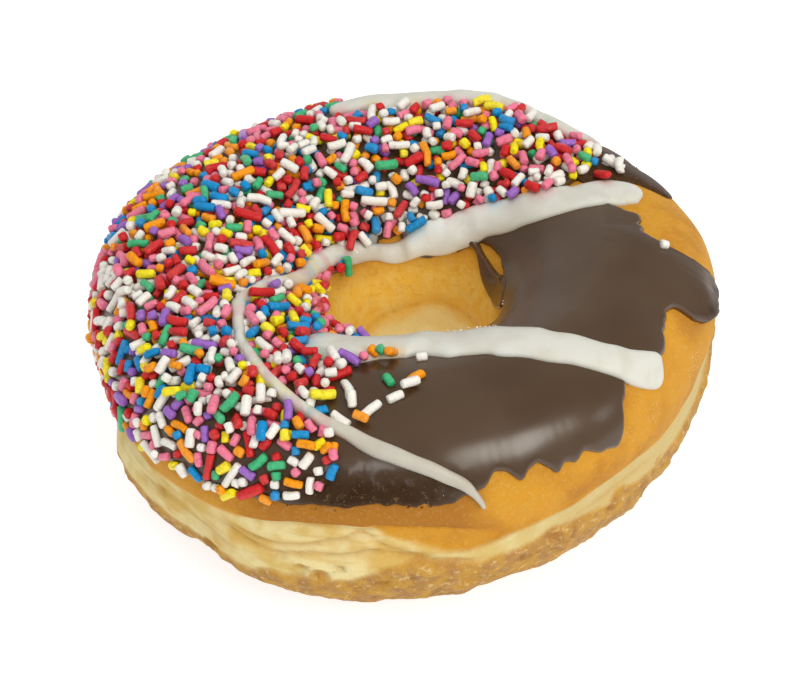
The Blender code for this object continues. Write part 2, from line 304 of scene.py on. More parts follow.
# Folds in the skin: direction and place along each, then its depth and half width in millimetres.
HOLE_CREASE = (
    (18, -90), (28, -89.5), (44.5, -88.5), (62, -86.5), (78, -88.5), (94.5, -90.5), (112.5, -92.5),
    (126.5, -96.5), (142, -103),
)
# Each fold's depth also sets how dark its painted shade is.
FOLDS = (
    (((238, 92), (248, 94), (252.5, 92), (256, 88), (259.5, 86), (263, 81.5), (266, 79)), 0.55, 0.45),
    (((236, 94), (243, 97), (246.5, 98.5), (253, 97), (259, 96.5), (265, 94.5), (269.5, 97.5),
      (272.5, 99.5), (277, 102), (282, 104)), 0.7, 0.45),
    (((258, 79), (261.5, 81.5), (264.5, 86.5), (267, 92.5), (271.5, 97.5), (275, 99.5)), 0.45, 0.4),
    (((216, 99), (224, 98), (232, 101), (240, 104)), 0.3, 0.9),
    (((244, 82.6), (250.5, 79.2), (259, 77.6), (265.5, 77.3), (272.5, 78.8), (280, 82.5)), 0.4, 0.3),
    (((292.4, 56), (293.2, 64), (294, 74), (295.6, 83)), 0.12, 0.5),
    (((300, 99), (312, 100), (324, 99)), 0.3, 0.7),
    (((40, 93), (60, 95), (80, 94), (100, 96)), 0.5, 0.8),
    (((120, 90), (140, 93), (160, 92), (180, 94)), 0.5, 0.8),
    (HOLE_CREASE, 0.26, 0.55),
    (((180, -92), (215, -95), (250, -93), (290, -95), (330, -92)), 0.5, 0.8),
)
# Pits in the lower crust: direction and place, then radius and depth in millimetres.
# Each pit's hollow is darkened with painted shade, as in the folds.
PITS = (
    (252, 104.5, 1.0, 0.8), (255, 108, 1.5, 0.7), (258.5, 103, 0.9, 0.8), (221, 99, 0.9, 0.5),
    (248, 100, 0.7, 0.5), (298, 106, 1.0, 0.5), (281.5, 118, 1.8, 0.6), (233, 113, 1.2, 0.6),
    (266, 112, 1.1, 0.5), (312, 110, 1.2, 0.5), (327, 107, 0.9, 0.4), (20, 108, 1.3, 0.6),
    (75, 106, 1.1, 0.6), (112, 111, 1.5, 0.6), (160, 107, 1.0, 0.6), (188, 112, 1.4, 0.6),
)
# How a fold's swollen rim stands: its share of the fold's depth, how far off and how wide in mm.
FOLD_RIM = (0.4, 1.9, 0.9)
# How a pit is squashed, and its raised rim: its share of the depth, place and width in pit radii.
PIT_SQUASH = (1, 1, 1.3)
PIT_RIM = (0.35, 1.35, 0.3)
# How many degrees it takes the pale band, its ledge and its step, and a fold's ends, to fade.
BAND_FADE = 4.5
LEDGE_FADE = 1.6
STEP_FADE = 3
FOLD_FADE = 7
# Under the dough, past this place on the hole's side, the crust is that of the lower side.
UNDERSIDE = 122
UNDERSIDE_FADE = 9
# Spans of directions or places in degrees, with how far each fades at either end.
BROWNED_SPAN = (243, 283, 10, 8)
WALL_SPAN = (65, 128, 18, 14)
LOBE_SPAN = (26, 150, 18, 22)
LOBE_HEIGHT = 0.7 * MM
LOBE_PLACE = -112
LOBE_SPREAD = 17
CRUST_ROUGHNESS = 0.45 * MM
WALL_ROUGHNESS = 0.12 * MM
WRINKLE_HEIGHT = 0.09 * MM
# Layers of noise: how much, the size and the seed of each. The band's lines wander in degrees.
BAND_WANDER = ((1.6, 5 * MM, 3), (0.7, 1.7 * MM, 4))
CRUST_NOISE = ((0.5, 2.9 * MM, 5), (0.5, 1.2 * MM, 6))
WRINKLE_NOISE = ((1, 1.5 * MM, 9), (0.6, 0.7 * MM, 10))
DOUGH_COLUMNS = 410


def crust(direction, place, points):
    """How far the crust stands out at each point, and the shares of its pale, brown and other parts.

    The pale band lies sunk between the tables' two lines. Each fold is a groove with a swollen rim,
    exp(-off / width) deep, each pit a dent exp(-away^4) with a raised rim, and the lower crust is
    rough with noise and blisters. The hole's wall has a paler lobe under its crease. The fold share
    is painted shade, darkest in the deeper folds and in the pits.
    """
    degrees = np.degrees(place)
    turns = np.degrees(direction) % 360
    wander = layered_noise(points, BAND_WANDER)
    softness = round_table(direction, BAND_SOFTNESS)
    below_top = smooth_step((degrees - round_table(direction, BAND_TOP) + 0.5 * wander) / softness)
    below_ledge = smooth_step((degrees - round_table(direction, LEDGE) + 0.2 * wander) / LEDGE_FADE)
    ledge_share = round_table(direction, LEDGE_SHARE)
    from_bottom = degrees - round_table(direction, BAND_BOTTOM) + 1.4 * wander
    below_band = smooth_step(from_bottom / BAND_FADE)
    pale = below_top * (1 - below_band)
    lower = below_band + smooth_step((-degrees - UNDERSIDE + 3 * wander) / UNDERSIDE_FADE)
    sunk = below_ledge * ledge_share + 0.6 * below_top * (1 - ledge_share)
    relief = -BAND_STEP * sunk * (1 - smooth_step(from_bottom / STEP_FADE))
    browned = smooth_step((degrees - 60) / 10) * (1 - below_ledge)
    browned = browned * within(turns, *BROWNED_SPAN)

    fold_shade = np.zeros_like(points[..., 0])
    rim_share, rim_off, rim_width = FOLD_RIM
    for path, depth, half_width in FOLDS:
        at, places = np.transpose(path)
        off = np.radians(degrees - np.interp(turns, at, places)) * SECTION_RADIUS
        inside = within(turns, at[0], at[-1], FOLD_FADE, FOLD_FADE)
        crease = np.exp(-np.abs(off + 0.3 * MM * wander) / (half_width * MM)) * inside
        rim = np.exp(-((np.abs(off) / MM - rim_off) / rim_width) ** 2) * inside
        relief = relief - depth * MM * crease
        relief = relief + rim_share * depth * MM * rim
        # Painted shade: the crease is darkened, more where the fold is deeper.
        fold_shade = np.maximum(fold_shade, crease * min(1.9 * depth + 0.05, 1))

    rough = layered_noise(points, CRUST_NOISE)
    blister = np.maximum(soft_noise(points, 4.5 * MM, 7) - 0.25, 0)
    relief = relief + CRUST_ROUGHNESS * (rough + 1.8 * blister) * np.minimum(lower, 1)
    rim_share, rim_off, rim_width = PIT_RIM
    for pit_direction, pit_place, radius, depth in PITS:
        middle = above_dough(np.radians([pit_direction]), np.radians([pit_place]), 0 * MM)
        away = np.linalg.norm((points - middle) * PIT_SQUASH, axis=-1) / (radius * MM)
        dent = np.exp(-away ** 4)
        rim = np.exp(-((away - rim_off) / rim_width) ** 2)
        relief = relief - depth * MM * (dent - rim_share * rim)
        # Painted shade in the pit's hollow.
        fold_shade = np.maximum(fold_shade, 0.8 * dent)

    wall = within(-degrees, *WALL_SPAN)
    relief = relief + WALL_ROUGHNESS * soft_noise(points, 2.2 * MM, 8) * wall
    across_hole = within(turns, *LOBE_SPAN)
    crease_place = np.interp(turns, *zip(*HOLE_CREASE))
    lobe = smooth_step((crease_place - 4 + 3 * wander - degrees) / 13) * across_hole * wall
    relief = relief + LOBE_HEIGHT * np.exp(-(((degrees - LOBE_PLACE) / LOBE_SPREAD) ** 2)) * across_hole
    streaks = np.stack([turns * 0.16 * MM, degrees * 1.05 * MM, 0 * turns], axis=-1)
    wrinkles = layered_noise(streaks, WRINKLE_NOISE)
    relief = relief + WRINKLE_HEIGHT * wrinkles * pale
    # The fold share is painted shade in the folds and pits.
    shares = {
        "wrinkle": 0.5 + 0.4 * wrinkles, "pale": pale, "lower": np.minimum(lower, 1), "wall": wall,
        "fold": fold_shade, "lobe": lobe, "browned": browned, "cream": round_table(direction, CREAM),
    }
    return relief, shares


def place_rows(*spans):
    """Places on the section, in radians, from spans of (first degree, last degree, step)."""
    parts = [np.linspace(a, b, round((b - a) / step), endpoint=False) for a, b, step in spans]
    return np.radians(np.concatenate(parts))


dough_place, dough_direction = np.meshgrid(
    place_rows((-178, -128, 2.4), (-128, -48, 1.45), (-48, 52, 2.6), (52, 76, 1.3), (76, 124, 0.75),
               (124, 150, 1.5), (150, 182, 3.2)),
    np.linspace(0, 2 * math.pi, DOUGH_COLUMNS, endpoint=False),
    indexing="ij",
)
dough_points = above_dough(dough_direction, dough_place, 0 * dough_place)
dough_relief, dough_shares = crust(dough_direction, dough_place, dough_points)
dough_relief *= smooth_step(dough_points[..., 2] / (2.4 * MM) - 0.5)
dough_points = above_dough(dough_direction, dough_place, dough_relief)
dough_points[..., 2] = np.maximum(dough_points[..., 2], 0)

CRUST_GOLD = (0.635, 0.303, 0.031)
# A brown of the crust, also used as the painted shade in the folds and pits.
CRUST_BROWN_AND_CREASE_SHADE = (0.48, 0.20, 0.022)
CRUST_AMBER = (0.70, 0.28, 0.016)
CRUST_EDGE = (0.41, 0.165, 0.022)
PALE_BAND = (0.84, 0.72, 0.37)
PALE_BAND_SHADE = (0.69, 0.48, 0.14)
PALE_BAND_CREAM = (0.62, 0.50, 0.23)
LOWER_CRUST = (0.56, 0.305, 0.055)
LOWER_CRUST_TAN = (0.41, 0.21, 0.07)
LOWER_CRUST_DARK = (0.29, 0.13, 0.04)
LOWER_CRUST_FLAKE = (0.80, 0.62, 0.32)
HOLE_GOLD = (0.79, 0.465, 0.057)
HOLE_PALE = (0.80, 0.55, 0.13)
HOLE_LOBE = (0.84, 0.70, 0.30)

fried_dough, graph, shader = new_material("fried dough")
blotches = graph.noise(9, 3, 0.55)
patches = graph.noise(5.5, 2, 0.5, 0.93)
mottling = graph.noise(2.6, 3, 0.6, 0.31)
freckles = graph.noise(1.1, 3, 0.65, 0.47)
grain = graph.noise(0.55, 2, 0.6, 0.17)
pale = graph.attribute("pale")
lower = graph.attribute("lower")
fold = graph.attribute("fold")
top_colour = blotches.rising(0.38, 0.72).blend(CRUST_GOLD, CRUST_BROWN_AND_CREASE_SHADE)
top_colour = (mottling.rising(0.5, 0.78) * 0.45).blend(top_colour, CRUST_AMBER)
top_colour = (freckles.rising(0.55, 0.8) * 0.3).blend(top_colour, CRUST_BROWN_AND_CREASE_SHADE)
top_colour = (graph.attribute("browned") * (0.75 + 0.5 * mottling)).clamped().blend(top_colour, CRUST_EDGE)
hole_colour = mottling.rising(0.3, 0.75).blend(HOLE_GOLD, HOLE_PALE)
hole_colour = (freckles.rising(0.5, 0.72) * 0.5).blend(hole_colour, CRUST_GOLD)
hole_colour = (graph.attribute("lobe") * (0.6 + 0.5 * mottling)).clamped().blend(hole_colour, HOLE_LOBE)
band_colour = patches.rising(0.4, 0.66).blend(PALE_BAND, PALE_BAND_SHADE)
band_colour = (graph.attribute("wrinkle").rising(0.55, 0.95) * 0.5).blend(band_colour, PALE_BAND_SHADE)
band_colour = graph.attribute("cream").blend(band_colour, PALE_BAND_CREAM)
base_colour = mottling.rising(0.35, 0.68).blend(LOWER_CRUST, LOWER_CRUST_TAN)
base_colour = (freckles.rising(0.53, 0.7) * 0.6).blend(base_colour, LOWER_CRUST_FLAKE)
dark_spots = graph.noise(3.6, 4, 0.75, 0.53).rising(0.53, 0.68)
base_colour = (dark_spots * 0.75).blend(base_colour, LOWER_CRUST_DARK)
colour = graph.attribute("wall").blend(top_colour, hole_colour)
colour = (pale * (0.62 + 0.6 * blotches)).clamped().blend(colour, band_colour)
colour = lower.blend(colour, base_colour)
# Painted shade: the folds and pits are darkened towards brown.
colour = (fold * 0.42).blend(colour, CRUST_BROWN_AND_CREASE_SHADE)
colour = (grain.rising(0.5, 0.78) * 0.13).blend(colour, PALE_BAND)
connect(colour, shader["Base Color"])
connect(0.48 + 0.2 * grain, shader["Roughness"])
skin = 0.8 * grain + 0.6 * graph.noise(0.25, 2, 0.6, 0.71) + (0.25 + 2.4 * lower) * freckles
connect(graph.bump(skin, 0.17), shader["Normal"])
shader["Specular IOR Level"].default_value = 0.06

dough = make_piece(
    "ring_of_dough", dough_points, closed_faces(*dough_place.shape), fried_dough,
    dough_shares,
)
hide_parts("dough")

# The chocolate icing
# A thin coat of chocolate icing, set on the top of the ring by dipping: its edge is ragged, thick and
# rounded where it ran, and crumbly in front, and a tongue and a loop of it ran off by themselves.

# Where the icing ends on the outer side and towards the hole: direction, and place.
OUTER_EDGE = (
    (0, 33), (1, 29), (2.5, 25), (4, 22), (6, 19.5), (9.5, 18.5), (12, 19.5), (14, 13.5), (16, 11), (19, 6),
    (24, 0), (29, -4), (32, -5), (33, 8), (35, 22), (38, 31), (42, 34), (50, 36), (62, 40), (76, 48),
    (92, 62), (120, 70), (150, 78), (180, 84), (201, 87), (206, 82), (215.5, 77.5), (219.5, 74),
    (225.5, 72.5), (229, 71), (238, 71), (241, 69), (250, 69.5), (253.5, 66.5), (257.5, 67),
    (261.5, 65.5), (265.5, 64), (272.5, 65), (275.5, 66.5), (280.5, 63.5), (284, 61), (286, 54.5),
    (288.5, 57), (291, 63),
    (292.5, 57.5), (294.5, 55.5), (296.5, 59), (298, 63), (299, 60), (302, 61), (304, 58), (307, 63),
    (308.5, 62.5), (311, 66), (312.5, 61.5), (314, 57), (315, 50.5), (318.5, 43), (322, 45.5),
    (327, 46.5), (332, 48.5), (334.5, 43.5), (336, 42), (338.5, 39), (342, 38.5), (343.5, 39),
    (344.4, 40.5), (344.7, 43.5), (345, 48), (345.4, 53), (346.5, 57.5), (348, 60.5), (351, 63.5),
    (354, 66), (356.5, 64.5), (358, 61), (358.7, 54), (358.9, 47), (359.2, 41), (359.6, 37),
)
INNER_EDGE = (
    (3.5, -57.5), (14, -55.5), (19.5, -54), (28, -52), (36, -51), (43, -50), (48, -54), (56, -59),
    (73, -63.5), (88, -63), (93, -52), (106, -52), (111, -58), (132, -56.5), (140, -58.5), (153, -56.5),
    (170.5, -57.5), (196, -53), (212.5, -48.5), (226.5, -45.5), (260, -47), (290, -49), (315.5, -50),
    (320.5, -46), (345.5, -55),
)
# Turns in degrees over which an edge is averaged: for its ragged line, and for the slow rise inside.
EDGE_BLUR = (-0.4, 0, 0.4)
EDGE_TREND = (-7, -5, -3, -1, 1, 3, 5, 7)
EDGE_THICKNESS = 0.85 * MM
MIDDLE_THICKNESS = 1.35 * MM
LIP = 0.9 * MM
RISE_WIDTH = 9 * MM
CRUMBS_RELIEF = 0.30 * MM
# How deep in the dough the icing's edge and its underside lie, so that no gap shows.
EDGE_DEPTH = 0.05 * MM
BED_DEPTH = 0.35 * MM
# Layers of noise: how much, the size and the seed of each. The ragged edges wander in degrees.
OUTER_RAGGED = ((0.9, 3.6 * MM, 11), (1.2, 1.4 * MM, 12))
INNER_RAGGED = ((0.8, 4 * MM, 13),)
ICING_NOISE = ((0.10 * MM, 14 * MM, 14), (0.015 * MM, 4 * MM, 15))
CRUMBS_NOISE = ((1, 0.9 * MM, 16), (1, 1.9 * MM, 17))
ICING_COLUMNS = 720
LIP_ROWS = np.array([0, 0.05, 0.16, 0.34, 0.6, 0.95, 1.4]) * MM
MIDDLE_ROWS = 62
# Where the icing ran and gathered, or ran thin: direction, place, radius and height in millimetres.
DRIPS = (
    (351, 58, 3.2, 0.8), (356, 52, 4.0, 0.4), (349, 50, 3.5, 0.3), (331, 40, 4.0, 0.3), (311, 57, 5.0, 0.2),
    (116, 42, 13, -0.6), (142, 42, 13, -0.6),
)


def mean_edge(direction, knots, turns):
    """The edge's place in degrees, averaged over some turns to either side of the direction."""
    return sum(round_table(direction + math.radians(turn), knots) for turn in turns) / len(turns)


def icing_edges(direction):
    """Where the icing's outer and inner edges run, in radians: the table, with a fine ragged line."""
    rim = np.stack([np.cos(direction), np.sin(direction), 0 * direction], axis=-1) * RING_RADIUS
    outer = mean_edge(direction, OUTER_EDGE, EDGE_BLUR) + layered_noise(rim, OUTER_RAGGED)
    inner = round_table(direction, INNER_EDGE) + layered_noise(rim, INNER_RAGGED)
    return np.radians(outer), np.radians(inner)


def icing_thickness(direction, place):
    """0 off the icing; over it a round lip, then a slow rise to the middle, and the thick drips."""
    outer, inner = icing_edges(direction)
    from_edge = np.minimum(outer - place, place - inner) * SECTION_RADIUS
    round_lip = np.sqrt(np.clip(1 - (1 - np.clip(from_edge / LIP, 0, 1)) ** 2, 0, 1))
    plain_outer = np.radians(mean_edge(direction, OUTER_EDGE, EDGE_TREND))
    plain_inner = np.radians(mean_edge(direction, INNER_EDGE, EDGE_TREND))
    inward = np.minimum(plain_outer - place, place - plain_inner) * SECTION_RADIUS
    rise = smooth_step(inward / RISE_WIDTH - 0.5)
    thickness = EDGE_THICKNESS + (MIDDLE_THICKNESS - EDGE_THICKNESS) * rise
    points = plain_dough(direction, place)
    for drip_direction, drip_place, radius, height in DRIPS:
        middle = plain_dough(np.radians([drip_direction]), np.radians([drip_place]))
        away = np.linalg.norm(points - middle, axis=-1) / (radius * MM)
        thickness = thickness + height * MM * np.exp(-away ** 2)
    return round_lip * (thickness + layered_noise(points, ICING_NOISE))


icing_direction = np.linspace(0, 2 * math.pi, ICING_COLUMNS, endpoint=False)
outer, inner = icing_edges(icing_direction)
span = outer - inner
lip_share = LIP_ROWS[:, None] / (span * SECTION_RADIUS)
middle_share = np.linspace(0, 1, MIDDLE_ROWS + 2)[1:-1, None]
middle_share = lip_share[-1:] + (1 - 2 * lip_share[-1:]) * middle_share
top_share = np.concatenate([lip_share, middle_share, 1 - lip_share[::-1]])
under_share = np.broadcast_to(np.linspace(0.97, 0.03, 6)[:, None], (6, ICING_COLUMNS))
icing_share = np.concatenate([top_share, under_share])
icing_place = inner + span * icing_share
icing_around = np.broadcast_to(icing_direction, icing_place.shape)
icing_lift = icing_thickness(icing_around, icing_place)
# The icing is dull and crumbly near its edge in front and, less so, on the lobe at the right: the
# direction's middle and half width in degrees, the place's middle and half width, and the share.
crumbly = 0
for middle, half_turn, crumbly_place, half_place, share in ((264, 16, 52, 14, 1), (354, 9, 54, 10, 0.8)):
    turned = (np.degrees(icing_around) - middle + 180) % 360 - 180
    near_edge = smooth_step((np.degrees(icing_place) - crumbly_place) / half_place)
    crumbly = crumbly + share * np.exp(-((turned / half_turn) ** 4)) * near_edge
crumbs_relief = layered_noise(plain_dough(icing_around, icing_place), CRUMBS_NOISE)
icing_lift = icing_lift + CRUMBS_RELIEF * crumbly * crumbs_relief
icing_lift[0] = icing_lift[len(top_share) - 1] = -EDGE_DEPTH
icing_lift[len(top_share):] = -BED_DEPTH
icing_points = above_dough(icing_around, icing_place, icing_lift)
from_edge = np.minimum(outer - icing_place, icing_place - inner) * SECTION_RADIUS
icing_thin = 0.7 * np.exp(-((from_edge / (0.35 * MM)) ** 2))

CHOCOLATE = (0.060, 0.029, 0.0095)
CHOCOLATE_DULL = (0.073, 0.039, 0.016)
CHOCOLATE_CRUMBLY = (0.036, 0.016, 0.004)
CHOCOLATE_THIN = (0.13, 0.050, 0.014)
CHOCOLATE_FLECK = (0.17, 0.10, 0.045)

chocolate_icing, graph, shader = new_material("chocolate icing")
cloud = graph.noise(11, 2, 0.5)
speck = graph.noise(0.7, 2, 0.6, 0.23)
crumbly_share = graph.attribute("crumbly")
colour = cloud.rising(0.3, 0.7).blend(CHOCOLATE, CHOCOLATE_DULL)
colour = (crumbly_share * (0.7 + 0.6 * speck)).clamped().blend(colour, CHOCOLATE_CRUMBLY)
flecks = graph.noise(0.8, 3, 0.7, 0.61).rising(0.56, 0.7)
colour = (crumbly_share * flecks * 0.6).blend(colour, CHOCOLATE_FLECK)
colour = (graph.attribute("thin") * speck.rising(0.25, 0.7)).blend(colour, CHOCOLATE_THIN)
connect(colour, shader["Base Color"])
connect(0.30 + 0.12 * cloud + 0.1 * speck + 0.2 * crumbly_share, shader["Roughness"])
connect((0.62 - 0.6 * crumbly_share).clamped(), shader["Coat Weight"])
shader["Coat Roughness"].default_value = 0.235
shader["Coat IOR"].default_value = 1.7
shader["Specular IOR Level"].default_value = 0.12
ripple = 0.8 * graph.noise(3.2, 2, 0.5, 0.41)
ripple = ripple + (0.08 + 0.9 * crumbly_share) * graph.noise(0.45, 2, 0.6, 0.9)
connect(graph.bump(ripple, 0.12), shader["Normal"])

icing = make_piece(
    "chocolate_icing", icing_points, closed_faces(*icing_place.shape), chocolate_icing,
    {"crumbly": crumbly, "thin": icing_thin},
)
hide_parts("icing")


def smooth_line(points, count):
    """A Catmull-Rom curve through the points, each of which keeps its width as a third value."""
    points = np.asarray(points, dtype=float)
    padded = np.vstack([2 * points[0] - points[1], points, 2 * points[-1] - points[-2]])
    at = np.linspace(0, len(points) - 1, count)
    piece = np.minimum(at.astype(int), len(points) - 2)
    t = (at - piece)[:, None]
    a, b, c, d = (padded[piece + k] for k in range(4))
    bend = (2 * a - 5 * b + 4 * c - d) * t ** 2 + (3 * b - a - 3 * c + d) * t ** 3
    return b + 0.5 * ((c - a) * t + bend)


def capped_faces(rows, columns):
    """Faces of a tube of rows of corners that is closed round, with a point at each of its ends."""
    tube = closed_faces(rows, columns).reshape(rows, columns, 4)[:-1].reshape(-1, 4).tolist()
    first, last = rows * columns, rows * columns + 1
    for column in range(columns):
        beside = (column + 1) % columns
        tube.append((first, column, beside))
        tube.append((last, (rows - 1) * columns + beside, (rows - 1) * columns + column))
    return tube


SQUARENESS = 2.5
END_SQUARENESS = 2.6
GROUND_SPREAD = 0.9 * MM


def ribbon(direction, place, half_width, height, bed, seed, step=0.45 * MM, sides=20, unevenness=0.08):
    """A strip laid along a line on the icing: its section is a low superellipse arch.

    The line is given by direction and place; the strip's ends are round, its edges wander by a
    share of its width, and it rests on the icing, or on the dough where the icing ends, with its bed
    below it. Gives the strip's directions, places, lifts and points, and its two end points.
    """
    middle = plain_dough(direction, place)
    travelled = np.concatenate([[0], np.cumsum(np.linalg.norm(np.diff(middle, axis=0), axis=1))])
    length = travelled[-1]
    rows = int(length / step)
    even = (np.arange(rows) + 0.5) / rows
    along = length * (even - np.sin(2 * math.pi * even) / (2 * math.pi) * 0.4)
    line_direction = np.interp(along, travelled, direction)
    line_place = np.interp(along, travelled, place)
    half_width = np.interp(along, travelled, half_width)
    height = np.interp(along, travelled, height + 0 * travelled)
    from_end = np.minimum(np.minimum(along, length - along) / half_width, 1)
    rounding = (1 - (1 - from_end) ** END_SQUARENESS) ** (1 / END_SQUARENESS)

    slopes = np.gradient(middle, travelled, axis=0)
    tangent = np.stack([np.interp(along, travelled, slope) for slope in slopes.T], axis=-1)
    round_ring, over_section = surface_slopes(line_direction, line_place)
    sideways = unit(np.cross(unit(np.cross(over_section, round_ring)), tangent))
    turn_direction = np.sum(sideways * round_ring, -1) / np.sum(round_ring ** 2, -1)
    turn_place = np.sum(sideways * over_section, -1) / np.sum(over_section ** 2, -1)

    around = np.arange(sides) / sides * 2 * math.pi
    across = np.sign(np.cos(around)) * np.abs(np.cos(around)) ** (2 / SQUARENESS)
    rise = np.sign(np.sin(around)) * np.abs(np.sin(around)) ** (2 / SQUARENESS)
    spot = np.stack([along, 0 * along, 0 * along], axis=-1)
    wander = [soft_noise(spot, 2.6 * MM, seed + k) + soft_noise(spot, 6 * MM, seed + 5 + k)
              for k in (0, 1, 2)]
    side = np.where(across[None, :] > 0, wander[0][:, None], wander[1][:, None])
    offset = (half_width * rounding)[:, None] * across * (1 + unevenness * side)
    out_direction = line_direction[:, None] + offset * turn_direction[:, None]
    out_place = line_place[:, None] + offset * turn_place[:, None]

    ground = np.zeros_like(out_place)
    spots = ((0, 0), (1, 0), (-1, 0), (0, 1), (0, -1))
    for east, north in spots:
        beside = east * GROUND_SPREAD / (0.75 * RING_RADIUS)
        above = north * GROUND_SPREAD / SECTION_RADIUS
        ground += icing_thickness(out_direction + beside, out_place + above) / len(spots)
    arch = height * rounding * (1 + 1.2 * unevenness * wander[2])
    out_lift = np.where(rise > 0, arch[:, None] * rise, bed * rise) + ground
    points = above_dough(out_direction, out_place, out_lift)
    ends = points[[0, -1]].mean(axis=1)
    return out_direction, out_place, out_lift, points, ends


def make_ribbon(name, strip, material, attributes=()):
    points = np.concatenate([strip[3].reshape(-1, 3), strip[4]])
    return make_piece(name, points, capped_faces(*strip[1].shape), material, attributes)


# Direction, place and half width in millimetres along each thin run of icing, then its height in
# millimetres, how uneven it is, and how crumbly and how thin it looks.
ICING_RUNS = {
    "icing_tongue": (
        ((47, 26, 7.0), (42, 26.5, 8.4), (37, 27.5, 8.6), (33, 31, 7.4), (29.8, 35.8, 5.2),
         (27.4, 41, 3.9), (25.4, 45, 3.1), (23.8, 47.5, 2.6), (22.6, 49, 2.3)), 0.5, 0.16, 0.85, 0.295,
    ),
    "icing_loop": (
        ((49, -52, 0.6), (45, -53.5, 0.5), (39.5, -56, 0.42), (32.5, -58, 0.42), (26.5, -59.2, 0.45),
         (19, -59.2, 0.55), (12, -57, 0.7)), 0.75, 0.08, 0, 0.55,
    ),
    "icing_drip": (
        ((44, -54.5, 0.3), (38, -58, 0.6), (31, -62, 1.0), (24, -64, 1.4), (17, -64, 1.9), (10, -62, 2.6),
         (3, -60.5, 2.6), (-4, -59.5, 1.9), (-9, -58.5, 1.0), (-12, -57.5, 0.5)), 0.5, 0.08, 0, 0.55,
    ),
}
RUN_BED = 0.4 * MM
for name, (path, height, unevenness, crumbly_look, thin_look) in ICING_RUNS.items():
    line = smooth_line(path, 80)
    strip = ribbon(
        np.radians(line[:, 0]), np.radians(line[:, 1]), line[:, 2] * MM, height * MM, RUN_BED, 60,
        step=0.3 * MM, sides=16, unevenness=unevenness,
    )
    plain = np.zeros(strip[1].size + 2)
    make_ribbon(
        name, strip, chocolate_icing,
        {"crumbly": plain + crumbly_look, "thin": plain + thin_look},
    )

# The white drizzle
# White icing trailed over the chocolate from a bag: one long line starts at the right, turns round
# the back and left of the hole and thins to a point in front, and two shorter ones lie across the
# front and on the back rim.

# Direction, place and width in millimetres along each line.
DRIZZLE_LINES = {
    "drizzle_turn": (
        (18.9, 26, 4.8), (21.4, 19.8, 5.8), (23, 10.2, 6.4), (24, -1.4, 6.8), (25.9, -13.3, 6.8),
        (30.3, -25, 6.6), (36.0, -33.3, 6.1), (43.6, -38.9, 5.7), (52.4, -45.6, 6.0), (64.4, -52.6, 6.2),
        (78.4, -55.2, 5.6), (94.7, -59.8, 3.4), (111, -56.4, 2.6), (124, -53.3, 3.8), (139, -50.6, 3.4),
        (155, -48.5, 3.4), (176.5, -42.8, 2.9), (192, -32, 2.7), (197.4, -21, 2.3), (203.8, -10.6, 2.2),
        (208, -2.8, 2.1), (213.5, 1, 2.2), (218.5, 5.5, 2.1), (223.6, 10.4, 2.0), (229.5, 14, 2.1),
        (236, 18.7, 1.9), (242.5, 23.8, 2.0), (248.5, 28.6, 2.0), (253.5, 32.6, 1.9), (258.2, 35, 2.0),
        (262.5, 39.4, 2.3), (268, 43.9, 2.4), (273.5, 49, 2.1), (277, 52.6, 1.9), (280.2, 57.2, 1.6),
        (282, 62.5, 1.2), (283.2, 67.5, 0.9), (283.6, 70, 0.7),
    ),
    "drizzle_front": (
        (235.5, -11, 7.2), (242, -16.5, 10.0), (249, -21.5, 11.0), (256, -25.8, 10.8), (263, -28.8, 10.2),
        (270, -30, 10.0), (277.2, -28.8, 10.2), (284.2, -25.4, 10.0), (291.8, -20.6, 9.0),
        (298.7, -13.4, 8.3), (303, -6.5, 7.3), (307.2, 1, 6.6), (310.3, 9.2, 6.1), (314, 17, 5.5),
        (316.5, 25.1, 5.0), (319.3, 33.2, 4.8), (322.9, 41.6, 5.3), (326.8, 48.8, 5.6), (328.7, 52.8, 5.5),
    ),
    "drizzle_back": (
        (108.5, 28.5, 2.2), (105.5, 29.5, 3.0), (100, 28, 4.0), (92.5, 26.5, 4.5), (87, 26.5, 4.6),
        (79.5, 28.2, 4.8), (74.5, 30, 4.7), (67, 32, 4.2), (61, 30, 4.0), (54.5, 28.4, 3.5),
        (48, 27.6, 3.1), (42.5, 29, 2.4), (39, 29.5, 1.6),
    ),
}
DRIZZLE_HEIGHT = 1.15 * MM
# Where the lines stand higher, over the sprinkles and over the hole's front edge: direction and
# millimetres.
DRIZZLE_RAISED = {
    "drizzle_turn": ((20, 0), (34, 0.1), (48, 0.4), (64, 0.1), (80, 0), (110, 0), (140, 0.45),
                     (245, 0.45), (258, 0.1), (280, 0)),
    "drizzle_front": ((238, 0.1), (252, 0.5), (272, 0.85), (288, 0.6), (302, 0.2), (312, 0)),
    "drizzle_back": ((40, 0.2), (55, 0.5), (95, 0.6), (106, 0.2)),
}
DRIZZLE_BED = 0.7 * MM
# The long line is whitest behind the hole, where it is brightened with painted light, and darkens
# where it thins in front: direction, share.
DRIZZLE_PAINTED_LIGHT_AND_THINNING = (
    (36, 1.0), (54, 1.2), (80, 1.2), (110, 1.0), (246, 1.0), (256, 0.9), (265, 0.79), (275, 0.76),
    (284, 0.76),
)
# The shade's power in red, green and blue: the thin icing is browner, and the painted light behind
# the hole whiter.
SHADE_POWERS = (1, 1.25, 1.5)

WHITE_ICING = (0.66, 0.655, 0.59)
WHITE_ICING_THIN = (0.60, 0.58, 0.49)

white_icing, graph, shader = new_material("white icing")
haze = graph.noise(4, 2, 0.5)
fine = graph.noise(0.8, 2, 0.55, 0.37)
colour = haze.rising(0.35, 0.75).blend(WHITE_ICING, WHITE_ICING_THIN)
